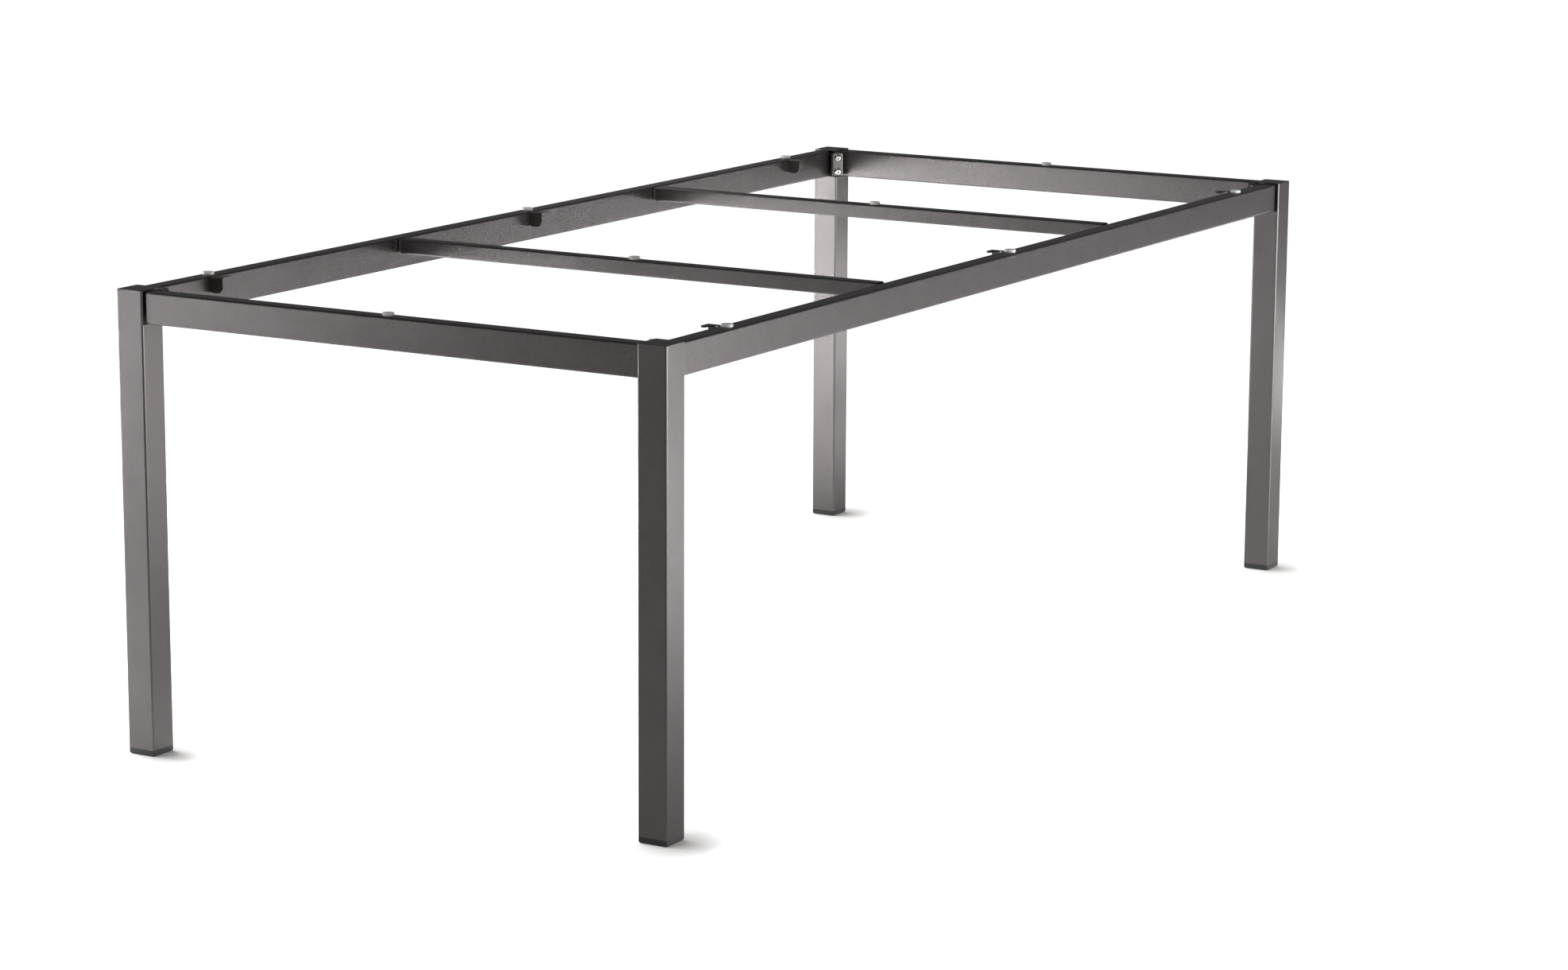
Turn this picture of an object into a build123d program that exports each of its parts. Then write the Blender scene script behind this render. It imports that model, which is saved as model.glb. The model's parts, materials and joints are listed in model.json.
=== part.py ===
"""Table frame: four square legs bolted into a ring of rectangular rails, with two crossbars.

Millimetres. +X runs along the length, -Y is the front long side, +Z is up, and the origin is on the
floor under the middle of the frame. Each corner is built in its own plane, whose two axes run inwards
along the rails from the leg's outer edge, so the four corners are one design turned a quarter each time.
"""
import os
from math import sqrt

from build123d import *

# Overall sizes
frame_length = 2200
frame_width = 1000
frame_height = 740  # to the top of the leg caps

# Legs, their caps and their feet
leg_size = 50
leg_wall = 2
leg_radius = 3
cap_thickness = 2
cap_edge = 0.6
shelf_thickness = 2  # plate across the tube under the rails
foot_height = 10
plug_height = 22
plug_wall = 3
plug_corner = 2
plug_lead = 1.5

# Rails
rail_height = 50
rail_thickness = 30
rail_wall = 2
rail_radius = 3
rail_setback = 6  # rail face behind the leg face
rail_gap = 3.5  # rail end to leg

# Crossbars and the spigots that carry them
bar_size = 25
bar_wall = 2
bar_radius = 2.5
bar_offset = 400  # from the middle of the frame
bar_gap = 7.5  # bar end to rail
spigot_sheet = 2.5
spigot_bend = 1  # inside radius
spigot_tongue = 32  # length inside the bar

# Folded corner brackets
bracket_sheet = 2.5
bracket_bend = 2  # radius of the sheet's middle line
tongue_length = 45  # inside the rail
web_standoff = 6  # web's middle from the leg's inner edge, along each rail
lug_width = 14  # bent over at the top of the web
lug_reach = 9

# Corner bolts and the inserts they screw into
bolt_diameter = 8
bolt_spacing = 27
bolt_hole = 9
bolt_depth = 16  # in the insert
head_diameter = 14
head_height = 4.4
socket_flats = 5
socket_depth = 2.6
insert_size = 42
insert_cut = 12  # off the corner that faces the bolts
insert_ease = 2  # off the corner inside the tube
insert_bore = 20

# Hooked clips for the table top
clip_sheet = 2.5
clip_bend = 2.5  # outside radius
clip_length = 25.5
clip_reach = 25  # out from the rail
clip_drop = 26
clip_corner = 11  # outer lower corner of the flange
clip_heel = 5  # lower corner at the rail
clip_offset = 14.5  # flange from the middle of its pad
slot_width = 16  # rail to hook
slot_depth = 15  # from the tip of the hook
slot_radius = 9
tip_radius = 3.5

# Pads under the table top
pad_diameter = 18.5
pad_height = 5
pad_inset = 200  # outer pads from the ends of the frame

# Fits
slide_clearance = 0.2  # plugs and spigots in their tubes
thread_clearance = 0.1  # on the radius
fold_clearance = 0.5  # folded bracket past the end of the rail
notch_clearance = 1  # opened leg wall below the rail

# Heights and planes that several pieces share
leg_top = frame_height - cap_thickness
rail_top = leg_top
rail_middle = rail_top - rail_height / 2
notch_bottom = rail_top - rail_height - notch_clearance
rail_centre = rail_setback + rail_thickness / 2  # from the outer face of the leg
rail_inner = rail_setback + rail_thickness
rail_end = leg_size + rail_gap
inner_y = frame_width / 2 - rail_inner
bracket_height = rail_height - 2 * rail_radius - fold_clearance
web_centre = leg_size + web_standoff
web_face = web_centre + bracket_sheet / sqrt(8)
pad_spacing = frame_length / 2 - pad_inset

os.makedirs("parts", exist_ok=True)


def corner_plane(x_side, y_side):
    """Floor plane of a corner: origin at the leg's outer edge, both axes inwards."""
    origin = (x_side * frame_length / 2, y_side * frame_width / 2, 0)
    x_dir = (-x_side, 0, 0) if x_side == y_side else (0, -y_side, 0)
    return Plane(origin=origin, x_dir=x_dir, z_dir=(0, 0, 1))


def tube_section(width, height, wall, radius):
    """Section of a rolled tube, centred on the sketch's current location."""
    RectangleRounded(width, height, radius)
    RectangleRounded(width - 2 * wall, height - 2 * wall, radius - wall, mode=Mode.SUBTRACT)


def save(piece, name):
    """Label a finished piece and write it under its own name."""
    piece.part.label = name
    export_step(piece.part, f"parts/{name}.step")


corners = {
    "front_left": corner_plane(-1, -1),
    "front_right": corner_plane(1, -1),
    "back_left": corner_plane(-1, 1),
    "back_right": corner_plane(1, 1),
}
sides = {"front": -1, "back": 1}
ends = {"left": -1, "right": 1}
stations = {"left": -1, "middle": 0, "right": 1}

# Legs: square tubes whose two inner walls are opened where the rails come in, with a shelf welded in below
for corner, floor in corners.items():
    with BuildPart() as leg:
        with BuildSketch(floor.offset(foot_height)):
            with Locations((leg_size / 2, leg_size / 2)):
                tube_section(leg_size, leg_size, leg_wall, leg_radius)
        extrude(amount=leg_top - foot_height)
        with BuildSketch(floor.offset(notch_bottom)):
            with Locations((leg_wall, leg_wall)):
                Rectangle(leg_size, leg_size, align=(Align.MIN, Align.MIN))
        extrude(amount=leg_top - notch_bottom, mode=Mode.SUBTRACT)
        with BuildSketch(floor.offset(notch_bottom)):
            with Locations((leg_size / 2, leg_size / 2)):
                Rectangle(leg_size - leg_wall, leg_size - leg_wall)
        extrude(amount=-shelf_thickness)
    save(leg, f"leg_{corner}")

# Leg caps: plates on top of the tubes, eased along their upper edges
for corner, floor in corners.items():
    with BuildPart() as cap:
        with BuildSketch(floor.offset(leg_top)):
            with Locations((leg_size / 2, leg_size / 2)):
                RectangleRounded(leg_size, leg_size, leg_radius)
        extrude(amount=cap_thickness)
        chamfer(cap.faces().sort_by(Axis.Z)[-1].edges(), length=cap_edge)
    save(cap, f"leg_cap_{corner}")

# Foot caps: a square sole and a hollow plug that fits the tube
plug_size = leg_size - 2 * leg_wall - 2 * slide_clearance
for corner, floor in corners.items():
    with BuildPart() as foot:
        with BuildSketch(floor):
            with Locations((leg_size / 2, leg_size / 2)):
                RectangleRounded(leg_size, leg_size, leg_radius)
        extrude(amount=foot_height)
        with BuildSketch(floor.offset(foot_height)):
            with Locations((leg_size / 2, leg_size / 2)):
                plug = Rectangle(plug_size, plug_size)
            chamfer(plug.vertices(), length=plug_corner)
        extrude(amount=plug_height)
        chamfer(foot.faces().sort_by(Axis.Z)[-1].edges(), length=plug_lead)
        with BuildSketch(floor.offset(foot_height)):
            with Locations((leg_size / 2, leg_size / 2)):
                Rectangle(plug_size - 2 * plug_wall, plug_size - 2 * plug_wall)
        extrude(amount=plug_height, mode=Mode.SUBTRACT)
    save(foot, f"foot_cap_{corner}")

# Long rails, open at both ends
long_rail_length = frame_length - 2 * rail_end
for side, y_side in sides.items():
    with BuildPart() as rail:
        with BuildSketch(Plane.YZ.offset(-long_rail_length / 2)):
            with Locations((y_side * (frame_width / 2 - rail_centre), rail_middle)):
                tube_section(rail_thickness, rail_height, rail_wall, rail_radius)
        extrude(amount=long_rail_length)
    save(rail, f"long_rail_{side}")

# End rails, the same tube
end_rail_length = frame_width - 2 * rail_end
for end, x_side in ends.items():
    with BuildPart() as rail:
        with BuildSketch(Plane.XZ.offset(-end_rail_length / 2)):
            with Locations((x_side * (frame_length / 2 - rail_centre), rail_middle)):
                tube_section(rail_thickness, rail_height, rail_wall, rail_radius)
        extrude(amount=end_rail_length)
    save(rail, f"end_rail_{end}")

# Crossbars, level with the tops of the rails
bar_length = 2 * (inner_y - bar_gap)
bar_middle = rail_top - bar_size / 2
for end, x_side in ends.items():
    with BuildPart() as bar:
        with BuildSketch(Plane.XZ.offset(-bar_length / 2)):
            with Locations((x_side * bar_offset, bar_middle)):
                tube_section(bar_size, bar_size, bar_wall, bar_radius)
        extrude(amount=bar_length)
    save(bar, f"crossbar_{end}")

# Crossbar spigots: U-shaped folds, back against the rail and arms inside the bar
spigot_size = bar_size - 2 * bar_wall - 2 * slide_clearance
spigot_half = (spigot_size - spigot_sheet) / 2
spigot_reach = bar_gap + spigot_tongue
for side, y_side in sides.items():
    for end, x_side in ends.items():
        seat = Plane(
            origin=(x_side * bar_offset, y_side * inner_y, bar_middle - spigot_size / 2),
            x_dir=(y_side, 0, 0),
            z_dir=(0, 0, 1),
        )
        with BuildPart() as spigot:
            with BuildSketch(seat):
                with BuildLine():
                    FilletPolyline(
                        (-spigot_half, -spigot_reach),
                        (-spigot_half, -spigot_sheet / 2),
                        (spigot_half, -spigot_sheet / 2),
                        (spigot_half, -spigot_reach),
                        radius=spigot_bend + spigot_sheet / 2,
                    )
                trace(line_width=spigot_sheet)
            extrude(amount=spigot_size)
        save(spigot, f"crossbar_spigot_{side}_{end}")

# Corner brackets: one folded strip, tongue, side, web, side, tongue, with a lug bent over level with the rails
tongue_line = rail_inner - rail_wall - bracket_sheet / 2
tongue_end = rail_end + tongue_length
side_offset = rail_end - rail_inner - (bracket_sheet / 2 + fold_clearance) * sqrt(2)
bracket_bottom = rail_middle - bracket_height / 2
bolt_heights = (rail_middle - bolt_spacing / 2, rail_middle + bolt_spacing / 2)
for corner, floor in corners.items():
    with BuildPart() as bracket:
        with BuildSketch(floor.offset(bracket_bottom)):
            with BuildLine():
                FilletPolyline(
                    (tongue_end, tongue_line),
                    (tongue_line + side_offset, tongue_line),
                    (web_centre + side_offset / 2, web_centre - side_offset / 2),
                    (web_centre - side_offset / 2, web_centre + side_offset / 2),
                    (tongue_line, tongue_line + side_offset),
                    (tongue_line, tongue_end),
                    radius=bracket_bend,
                )
            trace(line_width=bracket_sheet)
        extrude(amount=bracket_height)
        inwards = floor.x_dir + floor.y_dir
        middle = floor.from_local_coords((web_centre, web_centre, 0))
        with BuildSketch(Plane(origin=middle, x_dir=inwards, z_dir=inwards.cross(floor.z_dir))):
            with BuildLine():
                FilletPolyline(
                    (0, rail_middle),
                    (0, rail_top - bracket_sheet / 2),
                    (-lug_reach, rail_top - bracket_sheet / 2),
                    radius=bracket_bend,
                )
            trace(line_width=bracket_sheet)
        extrude(amount=lug_width / 2, both=True)
        for height in bolt_heights:
            seat = Plane(origin=floor.from_local_coords((web_face, web_face, height)), z_dir=inwards)
            with BuildSketch(seat):
                Circle(bolt_hole / 2)
            extrude(amount=-2 * bracket_sheet, mode=Mode.SUBTRACT)
    save(bracket, f"corner_bracket_{corner}")

# Leg inserts: blocks in the heads of the legs, standing on the shelves, that the corner bolts screw into
insert_end = leg_wall + insert_size
insert_face = insert_end - insert_cut / 2
with BuildPart() as leg_inserts:
    for floor in corners.values():
        with BuildSketch(floor.offset(notch_bottom)):
            with BuildLine():
                Polyline(
                    (leg_wall + insert_ease, leg_wall),
                    (insert_end, leg_wall),
                    (insert_end, insert_end - insert_cut),
                    (insert_end - insert_cut, insert_end),
                    (leg_wall, insert_end),
                    (leg_wall, leg_wall + insert_ease),
                    close=True,
                )
            make_face()
        extrude(amount=leg_top - notch_bottom)
        inwards = floor.x_dir + floor.y_dir
        for height in bolt_heights:
            face = Plane(origin=floor.from_local_coords((insert_face, insert_face, height)), z_dir=inwards)
            with BuildSketch(face):
                Circle(bolt_diameter / 2 + thread_clearance)
            extrude(amount=-insert_bore, mode=Mode.SUBTRACT)
save(leg_inserts, "leg_inserts")

# Corner bolts: socket heads on the webs, shanks screwed into the inserts
bolt_length = (web_face - insert_face) * sqrt(2) + bolt_depth
with BuildPart() as corner_bolts:
    for floor in corners.values():
        inwards = (floor.x_dir + floor.y_dir).normalized()
        for height in bolt_heights:
            seat = floor.from_local_coords((web_face, web_face, height))
            with BuildSketch(Plane(origin=seat, x_dir=inwards, z_dir=(0, 0, 1))):
                with BuildLine():
                    Polyline(
                        (head_height, 0),
                        (-bolt_length, 0),
                        (-bolt_length, bolt_diameter / 2),
                        (0, bolt_diameter / 2),
                        (0, head_diameter / 2),
                        (head_height, head_diameter / 2),
                        close=True,
                    )
                make_face()
            revolve(axis=Axis(seat, inwards))
            with BuildSketch(Plane(origin=seat + inwards * head_height, z_dir=inwards)):
                RegularPolygon(socket_flats / 2, 6, major_radius=False)
            extrude(amount=-socket_depth, mode=Mode.SUBTRACT)
save(corner_bolts, "corner_bolts")

# Top clips: a flange welded to the rail, bent into a flat hook level with the rail's top
hook_tip = clip_offset - clip_length
for side, y_side in sides.items():
    for station, x_place in stations.items():
        root = Plane(
            origin=(x_place * pad_spacing, y_side * inner_y, rail_top),
            x_dir=(-y_side, 0, 0),
            z_dir=(0, 0, 1),
        )
        # Bent profile, seen along the reach: x along the hook, y down the flange
        profile = Plane(origin=root.origin, x_dir=root.x_dir, z_dir=root.y_dir)
        with BuildPart() as clip:
            with BuildSketch(profile):
                with BuildLine():
                    FilletPolyline(
                        (hook_tip, clip_sheet / 2),
                        (clip_offset - clip_sheet / 2, clip_sheet / 2),
                        (clip_offset - clip_sheet / 2, clip_drop),
                        radius=clip_bend - clip_sheet / 2,
                    )
                trace(line_width=clip_sheet)
            extrude(amount=clip_reach)
            with BuildSketch(root):
                with Locations((hook_tip, slot_width)):
                    Rectangle(slot_depth - slot_radius, 2 * slot_radius, align=(Align.MIN, Align.MAX))
                with Locations((hook_tip + slot_depth - slot_radius, slot_width - slot_radius)):
                    Circle(slot_radius)
            extrude(amount=-clip_sheet, mode=Mode.SUBTRACT)
            along = Axis(root.origin, root.x_dir)
            outwards = Axis(root.origin, root.y_dir)
            fillet(clip.edges().filter_by(Axis.Z).sort_by(along)[:2], radius=tip_radius)
            lower_edges = clip.edges().filter_by(Axis.X).group_by(Axis.Z)[0].sort_by(outwards)
            fillet(lower_edges[-1], radius=clip_corner)
            fillet(lower_edges[0], radius=clip_heel)
        save(clip, f"top_clip_{side}_{station}")

# Top pads: round bumpers along the rails and in the middle of the end rails and crossbars
pad_centres = []
for y_side in sides.values():
    for x_place in stations.values():
        pad_centres.append((x_place * pad_spacing, y_side * (frame_width / 2 - rail_centre)))
for x_side in ends.values():
    pad_centres.append((x_side * (frame_length / 2 - rail_centre), 0))
    pad_centres.append((x_side * bar_offset, 0))
with BuildPart() as top_pads:
    with BuildSketch(Plane.XY.offset(rail_top)):
        with Locations(pad_centres):
            Circle(pad_diameter / 2)
    extrude(amount=pad_height)
save(top_pads, "top_pads")
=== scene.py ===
"""Looks of the table frame: coat, plastic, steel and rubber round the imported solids, on a white studio floor.

Metres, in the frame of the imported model: +X along the length, -Y the front long side, +Z up.
"""
import json
import math

import bmesh
import bpy
from mathutils import Matrix, Vector


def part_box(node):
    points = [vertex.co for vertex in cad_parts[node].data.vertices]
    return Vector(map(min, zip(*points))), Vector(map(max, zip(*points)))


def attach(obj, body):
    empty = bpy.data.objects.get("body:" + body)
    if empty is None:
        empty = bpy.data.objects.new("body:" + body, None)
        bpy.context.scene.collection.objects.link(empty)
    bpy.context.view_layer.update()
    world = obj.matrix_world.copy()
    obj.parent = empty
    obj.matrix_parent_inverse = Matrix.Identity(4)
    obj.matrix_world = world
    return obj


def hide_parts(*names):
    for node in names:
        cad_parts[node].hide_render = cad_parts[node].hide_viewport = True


# The photograph's frame and the camera that took it
IMAGE_WIDTH = 1973
SENSOR = 36.0
FOCAL_PIXELS = 5124.9
CAMERA_PLACE = (-5.9319, -3.5285, 1.7026)
CAMERA_YAW = math.radians(30.393)
CAMERA_PITCH = math.radians(-11.528)
CAMERA_ROLL = math.radians(0.303)
CAMERA_REACH = 200.0

# Meshes
SMOOTH_ANGLE = math.radians(35)
WELD = 1e-6
SORT_DIGITS = 4
ROUND_STEPS = 6

# Foot caps
SOLE_HEIGHT = 0.010
SOLE_CORNER = 0.003
SOLE_EDGE = 0.0034
SOLE_SEAM = 0.0004
PLUG_SIZE = 0.0456
PLUG_CORNER = 0.002
PLUG_LEAD = 0.0015
PLUG_WALL = 0.003

# Pads under the table top; the slope goes inwards and down from the lip to the dish
PAD_ROUND = 0.0013
PAD_LIP = 0.0026
PAD_FOOT = 0.0003
PAD_CORE = 0.001
PAD_DISH = 0.0008
PAD_DIP = 0.0001
PAD_SLOPE = ((0.0, 0.0), (0.0004, 0.0001), (0.0008, 0.0004), (0.0014, PAD_DISH))
PAD_SEGMENTS = 48

# Corner bolts: domed head, six-sided socket with a drilled floor, threaded shank
HEAD_RADIUS = 0.007
HEAD_HEIGHT = 0.0044
HEAD_RIM = 0.0009
HEAD_EDGE = 0.0002
CROWN_RADIUS = 0.0033
CROWN_STEPS = 8
SOCKET_FLATS = 0.005
SOCKET_DEPTH = 0.0026
SOCKET_MOUTH = 0.0004
SOCKET_LEAD = 0.0003
SOCKET_FOOT = 0.0004
DRILL_INSET = 0.0002
DRILL_RISE = 0.0003
DRILL_POINT = 0.0002
SHANK_RADIUS = 0.004
SHANK_GAP = 0.0001
THREAD_PITCH = 0.00125
THREAD_DEPTH = 0.00062
THREAD_START = 0.004
RINGS_PER_PITCH = 4
LEAD_RINGS = 6
BOLT_SEGMENTS = 48

# Broken edges of the folded sheet
SHEET_EDGE = 0.0005
SHEET_EDGE_STEPS = 3
SHEET_EDGE_ANGLE = math.radians(40)
SHEET_FLAT_ANGLE = math.radians(0.5)
SHEET_NORMAL_WEIGHT = 80

# Materials: the range that a noise mostly keeps to, colours by noise value, roughness ranges
NOISE_RANGE = (0.3, 0.7)
COAT_GRAINS = (
    (0.32, (0.120, 0.1055, 0.1065, 1.0)),
    (0.50, (0.137, 0.1205, 0.1215, 1.0)),
    (0.68, (0.155, 0.1365, 0.1375, 1.0)),
)
COAT_CLOUDS = ((0.30, (0.48, 0.48, 0.48, 1.0)), (0.70, (0.52, 0.52, 0.52, 1.0)))
COAT_ROUGHNESS = (0.26, 0.31)
COAT_METALLIC = 0.8
COAT_SPECULAR = (0.5, 0.5, 0.5, 1.0)
PLASTIC_TONES = ((0.30, (0.024, 0.021, 0.021, 1.0)), (0.70, (0.038, 0.034, 0.034, 1.0)))
PLASTIC_ROUGHNESS = (0.45, 0.60)
STEEL_TONES = ((0.30, (0.50, 0.49, 0.48, 1.0)), (0.70, (0.66, 0.65, 0.63, 1.0)))
STEEL_ROUGHNESS = (0.14, 0.28)
STEEL_GRAIN = (1.0, 1.0, 12.0)
RUBBER_TONES = ((0.30, (0.88, 0.84, 0.81, 1.0)), (0.70, (0.94, 0.91, 0.88, 1.0)))
RUBBER_ROUGHNESS = (0.30, 0.42)
RUBBER_MILK = 0.35
RUBBER_DEPTH = (0.004, 0.0034, 0.003)
RELIEF = 0.0001
WHITE = (1.0, 1.0, 1.0, 1.0)

# Floor: its own colour, the colour the camera sees, its glow by distance, and a painted glow along X that metal
# mirrors as reflection
FLOOR_HALF = 40.0
FLOOR_WHITE = (0.86, 0.86, 0.86, 1.0)
FLOOR_SEEN = (0.38, 0.355, 0.345, 1.0)
FLOOR_SPAN = (1.4, 3.4)
FLOOR_GLOW = (0.9, 1.0)
# Painted contact shadow: the floor's glow to the camera is dimmed where occlusion towards a slanted normal
# finds the feet, a short shade to the right of each foot
SHADOW_REACH = 0.065
SHADOW_DEPTH = 2.2
SHADOW_SLANT = (-0.2, 1.0, 0.25)
# Painted reflection: the floor glows to mirror rays only, dim at -X and brighter towards +X, so the metal shows
# light that no lamp gives
MIRROR_SPAN = (-2.2, 0.4)
MIRROR_PAINTED_GLOW = (0.03, 0.33)

# World: the fill, and the walls that metal mirrors, from the horizon up
WORLD_FILL = 0.3
WALL_SPAN = (0.0, 0.35)
WALL_LEVEL = (0.28, 0.084)

# Lamps: low softboxes beside the frame as x, y, watts, and washes over the floor as x, y, (size, beam), watts
LAMP_TINT = (0.94, 1.0, 0.99)
SOFTBOX_AIM = (0.0, 0.0, 0.5)
SOFTBOX_HEIGHT = 0.36
SOFTBOX_SIZE = (2.0, 0.6)
SOFTBOX_BEAM = 180
SOFTBOXES = {
    "left_near": (-3.4, 3.0, 9.7),
    "left_middle": (-1.3, 3.0, 27.0),
    "right_near": (-1.8, -3.0, 7.0),
    "right_middle": (0.6, -3.0, 52.0),
}
WASH_HEIGHT = 1.4
WASH_WIDE = (1.2, 120)
WASH_NARROW = (0.8, 70)
WASHES = {
    "left": (-0.8, 1.9, WASH_WIDE, 80.0),
    "left_near": (-2.4, 2.9, WASH_NARROW, 108.0),
    "right": (0.6, -1.9, WASH_WIDE, 32.0),
    "far": (3.25, -0.95, WASH_NARROW, 42.0),
    "far_left": (0.5, 1.0, WASH_NARROW, 5.0),
    "far_right": (1.95, 0.0, WASH_NARROW, 7.5),
}


# Mesh helpers

def new_mesh(name, verts, faces):
    """An object from plain vertices and faces, smooth, with its normals outwards."""
    mesh = bpy.data.meshes.new(name)
    mesh.from_pydata(verts, [], faces)
    build = bmesh.new()
    build.from_mesh(mesh)
    bmesh.ops.recalc_face_normals(build, faces=build.faces)
    build.to_mesh(mesh)
    build.free()
    mesh.set_sharp_from_angle(angle=SMOOTH_ANGLE)
    piece = bpy.data.objects.new(name, mesh)
    bpy.context.scene.collection.objects.link(piece)
    return piece


def loft(rings, verts, faces):
    """Adds closed rings of equal length as a skin, capped at both ends."""
    count = len(rings[0])
    start = len(verts)
    for ring in rings:
        verts.extend(ring)
    for row in range(len(rings) - 1):
        low = start + row * count
        high = low + count
        for i in range(count):
            j = (i + 1) % count
            faces.append((low + i, low + j, high + j, high + i))
    faces.append(tuple(range(start + count - 1, start - 1, -1)))
    last = start + (len(rings) - 1) * count
    faces.append(tuple(range(last, last + count)))


def circle(radius, z, segments):
    """A ring of points about the local Z axis."""
    turns = [2 * math.pi * i / segments for i in range(segments)]
    return [Vector((radius * math.cos(t), radius * math.sin(t), z)) for t in turns]


def hexagon(flats, z, segments):
    """A six-sided ring with as many points as its neighbours on a loft."""
    ring = []
    for i in range(segments):
        turn = 2 * math.pi * i / segments
        side = (turn % (math.pi / 3)) - math.pi / 6
        radius = flats / 2 / math.cos(side)
        ring.append(Vector((radius * math.cos(turn), radius * math.sin(turn), z)))
    return ring


def rounded_square(size, corner, z):
    """A square ring with round corners."""
    ring = []
    reach = size / 2 - corner
    for quarter, (sx, sy) in enumerate(((1, 1), (-1, 1), (-1, -1), (1, -1))):
        for i in range(ROUND_STEPS + 1):
            turn = math.pi / 2 * (quarter + i / ROUND_STEPS)
            x = sx * reach + corner * math.cos(turn)
            y = sy * reach + corner * math.sin(turn)
            ring.append(Vector((x, y, z)))
    return ring


def quarter_round(centre, radius):
    """(radius, z) points of a rounded upper edge in a turned profile."""
    points = []
    for i in range(ROUND_STEPS + 1):
        turn = math.radians(90 * i / ROUND_STEPS)
        points.append((centre[0] + radius * math.cos(turn), centre[1] + radius * math.sin(turn)))
    return points


def solids_of(node):
    """Points of each separate solid in a CAD node."""
    build = bmesh.new()
    build.from_mesh(frame["nodes"][node].data)
    bmesh.ops.remove_doubles(build, verts=build.verts, dist=WELD)
    left = set(build.verts)
    found = []
    while left:
        stack = [left.pop()]
        points = []
        while stack:
            vert = stack.pop()
            points.append(vert.co.copy())
            for edge in vert.link_edges:
                other = edge.other_vert(vert)
                if other in left:
                    left.remove(other)
                    stack.append(other)
        found.append(points)
    build.free()

    def place(points):
        middle = sum(points, Vector()) / len(points)
        return tuple(round(c, SORT_DIGITS) for c in middle)

    return sorted(found, key=place)


def box_of(points):
    """Lowest and highest corner of some points."""
    low = Vector(min(p[i] for p in points) for i in range(3))
    high = Vector(max(p[i] for p in points) for i in range(3))
    return low, high


# Node helpers

def material(name):
    """A new node material and its Principled shader."""
    made = bpy.data.materials.new(name)
    made.use_nodes = True
    return made, made.node_tree.nodes["Principled BSDF"]


def noise(tree, scale, detail, rough=0.5, stretch=(1.0, 1.0, 1.0)):
    """A noise texture in the object's own metres; returns its Fac socket."""
    place = tree.nodes.new("ShaderNodeTexCoord")
    mapping = tree.nodes.new("ShaderNodeMapping")
    mapping.inputs["Scale"].default_value = stretch
    texture = tree.nodes.new("ShaderNodeTexNoise")
    texture.inputs["Scale"].default_value = scale
    texture.inputs["Detail"].default_value = detail
    texture.inputs["Roughness"].default_value = rough
    tree.links.new(place.outputs["Object"], mapping.inputs["Vector"])
    tree.links.new(mapping.outputs["Vector"], texture.inputs["Vector"])
    return texture.outputs["Fac"]


def ramp(tree, socket, stops):
    """A colour ramp from (position, colour) stops; returns its colour socket."""
    node = tree.nodes.new("ShaderNodeValToRGB")
    band = node.color_ramp
    band.elements[0].position, band.elements[0].color = stops[0]
    band.elements[1].position, band.elements[1].color = stops[-1]
    for position, colour in stops[1:-1]:
        band.elements.new(position).color = colour
    tree.links.new(socket, node.inputs["Fac"])
    return node.outputs["Color"]


def overlay(tree, first, second):
    """One colour socket laid over another; returns the result."""
    node = tree.nodes.new("ShaderNodeMix")
    node.data_type = "RGBA"
    node.blend_type = "OVERLAY"
    node.inputs["Factor"].default_value = 1.0
    tree.links.new(first, node.inputs["A"])
    tree.links.new(second, node.inputs["B"])
    return node.outputs["Result"]


def remap(tree, socket, source, target, kind="LINEAR"):
    """A socket mapped from one range to another; returns the result."""
    node = tree.nodes.new("ShaderNodeMapRange")
    node.interpolation_type = kind
    node.inputs["From Min"].default_value, node.inputs["From Max"].default_value = source
    node.inputs["To Min"].default_value, node.inputs["To Max"].default_value = target
    tree.links.new(socket, node.inputs["Value"])
    return node.outputs["Result"]


def arithmetic(tree, operation, *values):
    """A Math node on sockets or numbers; returns its value."""
    node = tree.nodes.new("ShaderNodeMath")
    node.operation = operation
    for socket, value in zip(node.inputs, values):
        if isinstance(value, bpy.types.NodeSocket):
            tree.links.new(value, socket)
        else:
            socket.default_value = value
    return node.outputs["Value"]


def mirror_ray(tree, path):
    """1 for a ray that metal or glass has sent on, else 0."""
    total = arithmetic(tree, "ADD", path.outputs["Is Glossy Ray"], path.outputs["Is Transmission Ray"])
    total.node.use_clamp = True
    return total


def bump(tree, shader, socket, strength):
    """Relief from a height socket."""
    node = tree.nodes.new("ShaderNodeBump")
    node.inputs["Strength"].default_value = strength
    node.inputs["Distance"].default_value = RELIEF
    tree.links.new(socket, node.inputs["Height"])
    tree.links.new(node.outputs["Normal"], shader.inputs["Normal"])


# Materials of the object

def coat_material():
    """Iron grey powder coat: metallic grains under a satin skin."""
    made, shader = material("frame_coat")
    tree = made.node_tree
    grains = ramp(tree, noise(tree, scale=800.0, detail=4.0, rough=0.7), COAT_GRAINS)
    clouds = ramp(tree, noise(tree, scale=14.0, detail=3.0), COAT_CLOUDS)
    tree.links.new(overlay(tree, grains, clouds), shader.inputs["Base Color"])
    satin = remap(tree, noise(tree, scale=900.0, detail=2.0), NOISE_RANGE, COAT_ROUGHNESS)
    tree.links.new(satin, shader.inputs["Roughness"])
    shader.inputs["Metallic"].default_value = COAT_METALLIC
    shader.inputs["Specular Tint"].default_value = COAT_SPECULAR
    bump(tree, shader, noise(tree, scale=1600.0, detail=1.0), strength=0.02)
    return made


def plastic_material():
    """Black moulded plastic with a fine spark-eroded grain."""
    made, shader = material("foot_plastic")
    tree = made.node_tree
    tone = ramp(tree, noise(tree, scale=700.0, detail=2.0), PLASTIC_TONES)
    tree.links.new(tone, shader.inputs["Base Color"])
    matt = remap(tree, noise(tree, scale=60.0, detail=3.0), NOISE_RANGE, PLASTIC_ROUGHNESS)
    tree.links.new(matt, shader.inputs["Roughness"])
    bump(tree, shader, noise(tree, scale=1500.0, detail=2.0), strength=0.25)
    return made


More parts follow.
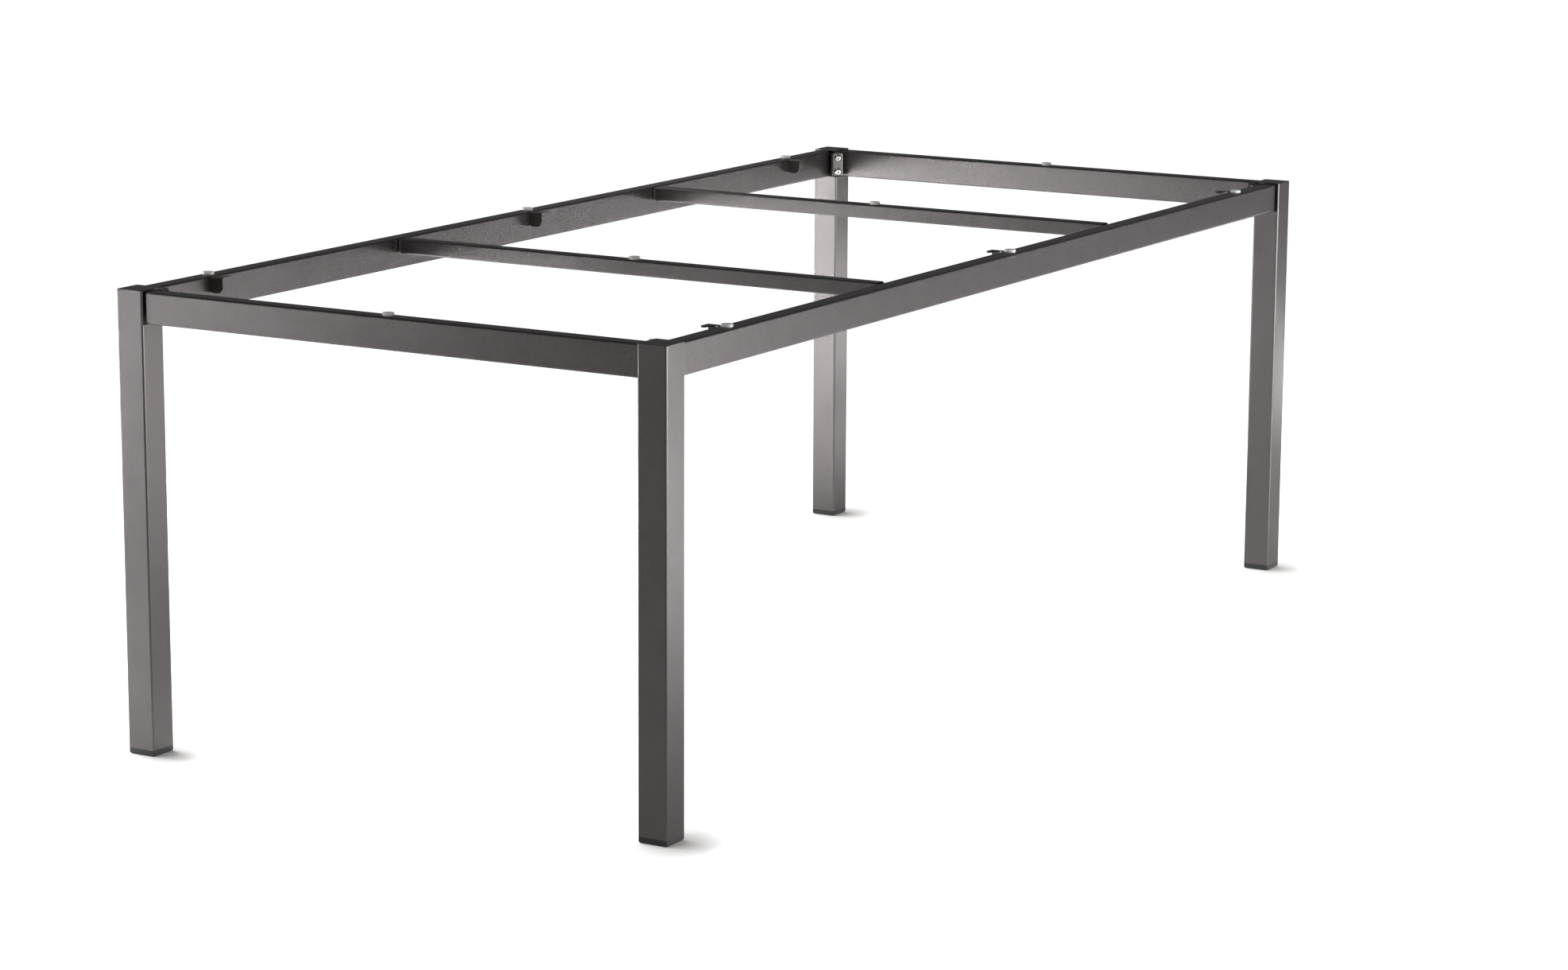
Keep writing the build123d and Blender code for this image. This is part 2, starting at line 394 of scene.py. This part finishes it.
def steel_material():
    """Bare stainless steel with drawn lines."""
    made, shader = material("stainless")
    tree = made.node_tree
    lines = noise(tree, scale=300.0, detail=3.0, rough=0.6, stretch=STEEL_GRAIN)
    tree.links.new(ramp(tree, lines, STEEL_TONES), shader.inputs["Base Color"])
    tree.links.new(remap(tree, lines, NOISE_RANGE, STEEL_ROUGHNESS), shader.inputs["Roughness"])
    shader.inputs["Metallic"].default_value = 1.0
    bump(tree, shader, lines, strength=0.05)
    return made


def rubber_material():
    """Milky silicone."""
    made, shader = material("pad_rubber")
    tree = made.node_tree
    tone = ramp(tree, noise(tree, scale=220.0, detail=3.0), RUBBER_TONES)
    tree.links.new(tone, shader.inputs["Base Color"])
    satin = remap(tree, noise(tree, scale=400.0, detail=2.0), NOISE_RANGE, RUBBER_ROUGHNESS)
    tree.links.new(satin, shader.inputs["Roughness"])
    shader.inputs["Subsurface Weight"].default_value = RUBBER_MILK
    shader.inputs["Subsurface Radius"].default_value = RUBBER_DEPTH
    shader.inputs["Subsurface Scale"].default_value = 1.0
    bump(tree, shader, noise(tree, scale=900.0, detail=1.0), strength=0.08)
    return made


# Pieces that stand for plain CAD nodes

def make_pads():
    """Rounded bumpers with a shallow dish in the top."""
    verts, faces = [], []
    for points in solids_of("top_pads"):
        low, high = box_of(points)
        middle = (low + high) / 2
        radius = (high.x - low.x) / 2
        lip = radius - PAD_ROUND - PAD_LIP
        profile = [(PAD_CORE, low.z), (radius - PAD_FOOT, low.z), (radius, low.z + PAD_FOOT)]
        profile += quarter_round((radius - PAD_ROUND, high.z - PAD_ROUND), PAD_ROUND)
        profile += [(lip - inwards, high.z - down) for inwards, down in PAD_SLOPE]
        profile.append((PAD_CORE, high.z - PAD_DISH - PAD_DIP))
        place = Vector((middle.x, middle.y, 0.0))
        loft([[place + p for p in circle(r, z, PAD_SEGMENTS)] for r, z in profile], verts, faces)
    return new_mesh("top_bumpers", verts, faces)


def bolt_rings(length):
    """Rings of one bolt about +Z, from the tip of its thread to the floor of its socket."""
    rings = []
    step = THREAD_PITCH / RINGS_PER_PITCH
    for row in range(int((length - THREAD_START) / step) + 1):
        z = -length + row * step
        lead = min(1.0, row / LEAD_RINGS)
        ring = []
        for i, point in enumerate(circle(1.0, z, BOLT_SEGMENTS)):
            phase = (z / THREAD_PITCH + i / BOLT_SEGMENTS) % 1.0
            depth = THREAD_DEPTH * (abs(2 * phase - 1) * lead + (1 - lead))
            radius = SHANK_RADIUS - depth
            ring.append(Vector((point.x * radius, point.y * radius, z)))
        rings.append(ring)
    turned = [
        (SHANK_RADIUS - SHANK_GAP, -THREAD_START + step),
        (SHANK_RADIUS - SHANK_GAP, 0.0),
        (HEAD_RADIUS - HEAD_EDGE, 0.0),
        (HEAD_RADIUS, HEAD_EDGE),
        (HEAD_RADIUS, HEAD_RIM),
    ]
    for i in range(1, CROWN_STEPS + 1):
        turn = math.pi / 2 * i / CROWN_STEPS
        radius = CROWN_RADIUS + (HEAD_RADIUS - CROWN_RADIUS) * math.cos(turn)
        turned.append((radius, HEAD_RIM + (HEAD_HEIGHT - HEAD_RIM) * math.sin(turn)))
    rings += [circle(radius, z, BOLT_SEGMENTS) for radius, z in turned]
    floor = HEAD_HEIGHT - SOCKET_DEPTH
    rings.append(hexagon(SOCKET_FLATS + SOCKET_MOUTH, HEAD_HEIGHT, BOLT_SEGMENTS))
    rings.append(hexagon(SOCKET_FLATS, HEAD_HEIGHT - SOCKET_LEAD, BOLT_SEGMENTS))
    rings.append(hexagon(SOCKET_FLATS, floor + SOCKET_FOOT, BOLT_SEGMENTS))
    rings.append(circle(SOCKET_FLATS / 2 - DRILL_INSET, floor + DRILL_RISE, BOLT_SEGMENTS))
    rings.append(circle(DRILL_POINT, floor, BOLT_SEGMENTS))
    return rings


def make_bolts():
    """Domed button-head bolts with a socket and a thread, one for each CAD bolt."""
    verts, faces = [], []
    up = Vector((0, 0, 1))
    for points in solids_of("corner_bolts"):
        middle = sum(points, Vector()) / len(points)
        inwards = Vector((-math.copysign(1, middle.x), -math.copysign(1, middle.y), 0)).normalized()
        along = [p.dot(inwards) for p in points]
        low, high = box_of(points)
        level = (low.z + high.z) / 2
        seat = max(along) - HEAD_HEIGHT
        side = up.cross(inwards)
        across = sum(p.dot(side) for p in points) / len(points)
        place = Matrix((side, up, inwards)).transposed().to_4x4()
        place.translation = inwards * seat + side * across + up * level
        rings = [[place @ p for p in ring] for ring in bolt_rings(seat - min(along))]
        loft(rings, verts, faces)
    return new_mesh("button_head_bolts", verts, faces)


def make_foot(node, name):
    """A foot cap with a rounded sole, a seam under the tube and a hollow plug."""
    low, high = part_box(node)
    size = high.x - low.x
    place = Vector(((low.x + high.x) / 2, (low.y + high.y) / 2, 0.0))
    top = low.z + SOLE_HEIGHT
    outline = []
    for i in range(ROUND_STEPS + 1):
        turn = math.pi / 2 * i / ROUND_STEPS
        inset = SOLE_EDGE * (1 - math.sin(turn))
        level = low.z + SOLE_EDGE * (1 - math.cos(turn))
        outline.append((size - 2 * inset, SOLE_CORNER, level))
    outline += [
        (size, SOLE_CORNER, top - SOLE_SEAM),
        (size - 2 * SOLE_SEAM, SOLE_CORNER, top),
        (PLUG_SIZE, PLUG_CORNER, top),
        (PLUG_SIZE, PLUG_CORNER, high.z - PLUG_LEAD),
        (PLUG_SIZE - 2 * PLUG_LEAD, PLUG_CORNER, high.z),
        (PLUG_SIZE - 2 * PLUG_WALL, PLUG_CORNER, high.z),
        (PLUG_SIZE - 2 * PLUG_WALL, PLUG_CORNER, top + PLUG_WALL),
    ]
    verts, faces = [], []
    loft([[place + p for p in rounded_square(*ring)] for ring in outline], verts, faces)
    return new_mesh(name, verts, faces)


def make_eased(node, name):
    """A sheet-metal node again, with its cut edges broken so that they catch the light."""
    build = bmesh.new()
    build.from_mesh(frame["nodes"][node].data)
    bmesh.ops.remove_doubles(build, verts=build.verts, dist=WELD)
    bmesh.ops.dissolve_limit(build, angle_limit=SHEET_FLAT_ANGLE, verts=build.verts, edges=build.edges)
    mesh = bpy.data.meshes.new(name)
    build.to_mesh(mesh)
    build.free()
    rough = bpy.data.objects.new(name + "_rough", mesh)
    bpy.context.scene.collection.objects.link(rough)
    edge = rough.modifiers.new("edge", "BEVEL")
    edge.width = SHEET_EDGE
    edge.segments = SHEET_EDGE_STEPS
    edge.limit_method = "ANGLE"
    edge.angle_limit = SHEET_EDGE_ANGLE
    for polygon in mesh.polygons:
        polygon.use_smooth = True
    level = rough.modifiers.new("level", "WEIGHTED_NORMAL")
    level.weight = SHEET_NORMAL_WEIGHT
    eased = bpy.data.meshes.new_from_object(rough.evaluated_get(bpy.context.evaluated_depsgraph_get()))
    bpy.data.objects.remove(rough)
    piece = bpy.data.objects.new(name, eased)
    piece.data.materials.clear()
    bpy.context.scene.collection.objects.link(piece)
    return piece


# Studio

def lamp(name, place, aim, size, beam, power):
    """A soft rectangular lamp with a beam in degrees."""
    data = bpy.data.lights.new(name, "AREA")
    data.shape = "RECTANGLE"
    data.size, data.size_y = size
    data.energy = power
    data.color = LAMP_TINT
    data.spread = math.radians(beam)
    made = bpy.data.objects.new(name, data)
    made.location = place
    made.visible_camera = False
    made.rotation_mode = "QUATERNION"
    made.rotation_quaternion = (Vector(aim) - Vector(place)).to_track_quat("-Z", "Y")
    bpy.context.scene.collection.objects.link(made)


def make_floor():
    """A wide floor, white to the camera with a painted contact shadow in its glow, and a painted glow that
    metal mirrors, dimmer towards -X.
    """
    half = FLOOR_HALF
    corners = [(-half, -half, 0), (half, -half, 0), (half, half, 0), (-half, half, 0)]
    floor = new_mesh("floor", corners, [(0, 1, 2, 3)])
    made, shader = material("floor")
    tree = made.node_tree
    shader.inputs["Roughness"].default_value = 1.0
    shader.inputs["Specular IOR Level"].default_value = 0.0
    shader.inputs["Emission Color"].default_value = WHITE
    path = tree.nodes.new("ShaderNodeLightPath")
    tone = tree.nodes.new("ShaderNodeMix")
    tone.data_type = "RGBA"
    tone.inputs["A"].default_value = FLOOR_WHITE
    tone.inputs["B"].default_value = FLOOR_SEEN
    tree.links.new(path.outputs["Is Camera Ray"], tone.inputs["Factor"])
    tree.links.new(tone.outputs["Result"], shader.inputs["Base Color"])
    # Painted contact shadow: occlusion towards a slanted normal dims the glow that the camera sees beside each
    # foot
    slant = tree.nodes.new("ShaderNodeNormal")
    slant.outputs["Normal"].default_value = Vector(SHADOW_SLANT).normalized()
    contact = tree.nodes.new("ShaderNodeAmbientOcclusion")
    contact.inputs["Distance"].default_value = SHADOW_REACH
    tree.links.new(slant.outputs["Normal"], contact.inputs["Normal"])
    deep = arithmetic(tree, "POWER", contact.outputs["AO"], SHADOW_DEPTH)
    painted_shadow = arithmetic(tree, "MULTIPLY", path.outputs["Is Camera Ray"], deep)
    place = tree.nodes.new("ShaderNodeTexCoord")
    axes = tree.nodes.new("ShaderNodeSeparateXYZ")
    tree.links.new(place.outputs["Object"], axes.inputs["Vector"])
    # Painted reflection: glow seen only by mirror rays, rising along X
    level = remap(tree, axes.outputs["X"], MIRROR_SPAN, MIRROR_PAINTED_GLOW)
    share = arithmetic(tree, "MULTIPLY_ADD", mirror_ray(tree, path), level, painted_shadow)
    length = tree.nodes.new("ShaderNodeVectorMath")
    length.operation = "LENGTH"
    tree.links.new(place.outputs["Object"], length.inputs[0])
    glow = remap(tree, length.outputs["Value"], FLOOR_SPAN, FLOOR_GLOW, kind="SMOOTHSTEP")
    tree.links.new(arithmetic(tree, "MULTIPLY", glow, share), shader.inputs["Emission Strength"])
    floor.data.materials.append(made)


def make_world():
    """White behind the object, pale walls that the metal mirrors, and a dim fill."""
    world = bpy.data.worlds.new("studio")
    bpy.context.scene.world = world
    world.use_nodes = True
    tree = world.node_tree
    fill = tree.nodes["Background"]
    walls = tree.nodes.new("ShaderNodeBackground")
    white = tree.nodes.new("ShaderNodeBackground")
    for background in (fill, walls, white):
        background.inputs["Color"].default_value = WHITE
    fill.inputs["Strength"].default_value = WORLD_FILL
    white.inputs["Strength"].default_value = 1.0
    place = tree.nodes.new("ShaderNodeTexCoord")
    axes = tree.nodes.new("ShaderNodeSeparateXYZ")
    tree.links.new(place.outputs["Generated"], axes.inputs["Vector"])
    tree.links.new(remap(tree, axes.outputs["Z"], WALL_SPAN, WALL_LEVEL), walls.inputs["Strength"])
    path = tree.nodes.new("ShaderNodeLightPath")
    mirrored = tree.nodes.new("ShaderNodeMixShader")
    tree.links.new(mirror_ray(tree, path), mirrored.inputs["Fac"])
    tree.links.new(fill.outputs["Background"], mirrored.inputs[1])
    tree.links.new(walls.outputs["Background"], mirrored.inputs[2])
    seen = tree.nodes.new("ShaderNodeMixShader")
    tree.links.new(path.outputs["Is Camera Ray"], seen.inputs["Fac"])
    tree.links.new(mirrored.outputs["Shader"], seen.inputs[1])
    tree.links.new(white.outputs["Background"], seen.inputs[2])
    tree.links.new(seen.outputs["Shader"], tree.nodes["World Output"].inputs["Surface"])


def make_camera():
    """The photograph's view."""
    yaw, pitch, roll = CAMERA_YAW, CAMERA_PITCH, CAMERA_ROLL
    forward = Vector((math.cos(yaw) * math.cos(pitch), math.sin(yaw) * math.cos(pitch), math.sin(pitch)))
    level = Vector((math.sin(yaw), -math.cos(yaw), 0.0))
    above = level.cross(forward)
    right = level * math.cos(roll) + above * math.sin(roll)
    up = above * math.cos(roll) - level * math.sin(roll)
    data = bpy.data.cameras.new("camera")
    data.sensor_width = SENSOR
    data.lens = SENSOR * FOCAL_PIXELS / IMAGE_WIDTH
    data.clip_end = CAMERA_REACH
    camera = bpy.data.objects.new("camera", data)
    camera.matrix_world = Matrix((right, up, -forward)).transposed().to_4x4()
    camera.location = CAMERA_PLACE
    bpy.context.scene.collection.objects.link(camera)
    bpy.context.scene.camera = camera


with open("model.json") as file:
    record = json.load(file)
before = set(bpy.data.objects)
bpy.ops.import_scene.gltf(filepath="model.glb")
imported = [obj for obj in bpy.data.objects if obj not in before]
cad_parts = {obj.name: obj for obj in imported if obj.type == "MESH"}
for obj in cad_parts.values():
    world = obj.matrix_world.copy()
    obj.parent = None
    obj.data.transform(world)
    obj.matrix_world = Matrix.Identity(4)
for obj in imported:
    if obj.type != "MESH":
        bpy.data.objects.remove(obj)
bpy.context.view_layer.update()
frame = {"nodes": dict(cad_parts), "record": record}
bpy.context.scene.view_settings.view_transform = "Standard"

slot_materials = {
    "frame_coat": coat_material(),
    "foot_plastic": plastic_material(),
    "stainless": steel_material(),
    "pad_rubber": rubber_material(),
}
for subpart in frame["record"]["subparts"]:
    mesh = frame["nodes"][subpart["node"]].data
    mesh.materials.clear()
    mesh.materials.append(slot_materials[subpart["material_slot"]])

stand_ins = [
    (make_pads(), "pad_rubber", ["top_pads"]),
    (make_bolts(), "stainless", ["corner_bolts"]),
]
for corner in ("front_left", "front_right", "back_left", "back_right"):
    cap = f"foot_cap_{corner}"
    stand_ins.append((make_foot(cap, f"foot_{corner}"), "foot_plastic", [cap]))
    bracket = f"corner_bracket_{corner}"
    stand_ins.append((make_eased(bracket, f"folded_bracket_{corner}"), "frame_coat", [bracket]))
for side in ("front", "back"):
    for station in ("left", "middle", "right"):
        clip = f"top_clip_{side}_{station}"
        stand_ins.append((make_eased(clip, f"hook_clip_{side}_{station}"), "frame_coat", [clip]))
for piece, slot, replaced in stand_ins:
    piece.data.materials.append(slot_materials[slot])
    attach(piece, "root")
    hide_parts(*replaced)

for name, (x, y, power) in SOFTBOXES.items():
    lamp(f"softbox_{name}", (x, y, SOFTBOX_HEIGHT), SOFTBOX_AIM, SOFTBOX_SIZE, SOFTBOX_BEAM, power)
for name, (x, y, (size, beam), power) in WASHES.items():
    lamp(f"wash_{name}", (x, y, WASH_HEIGHT), (x, y, 0.0), (size, size), beam, power)
make_floor()
make_world()
make_camera()
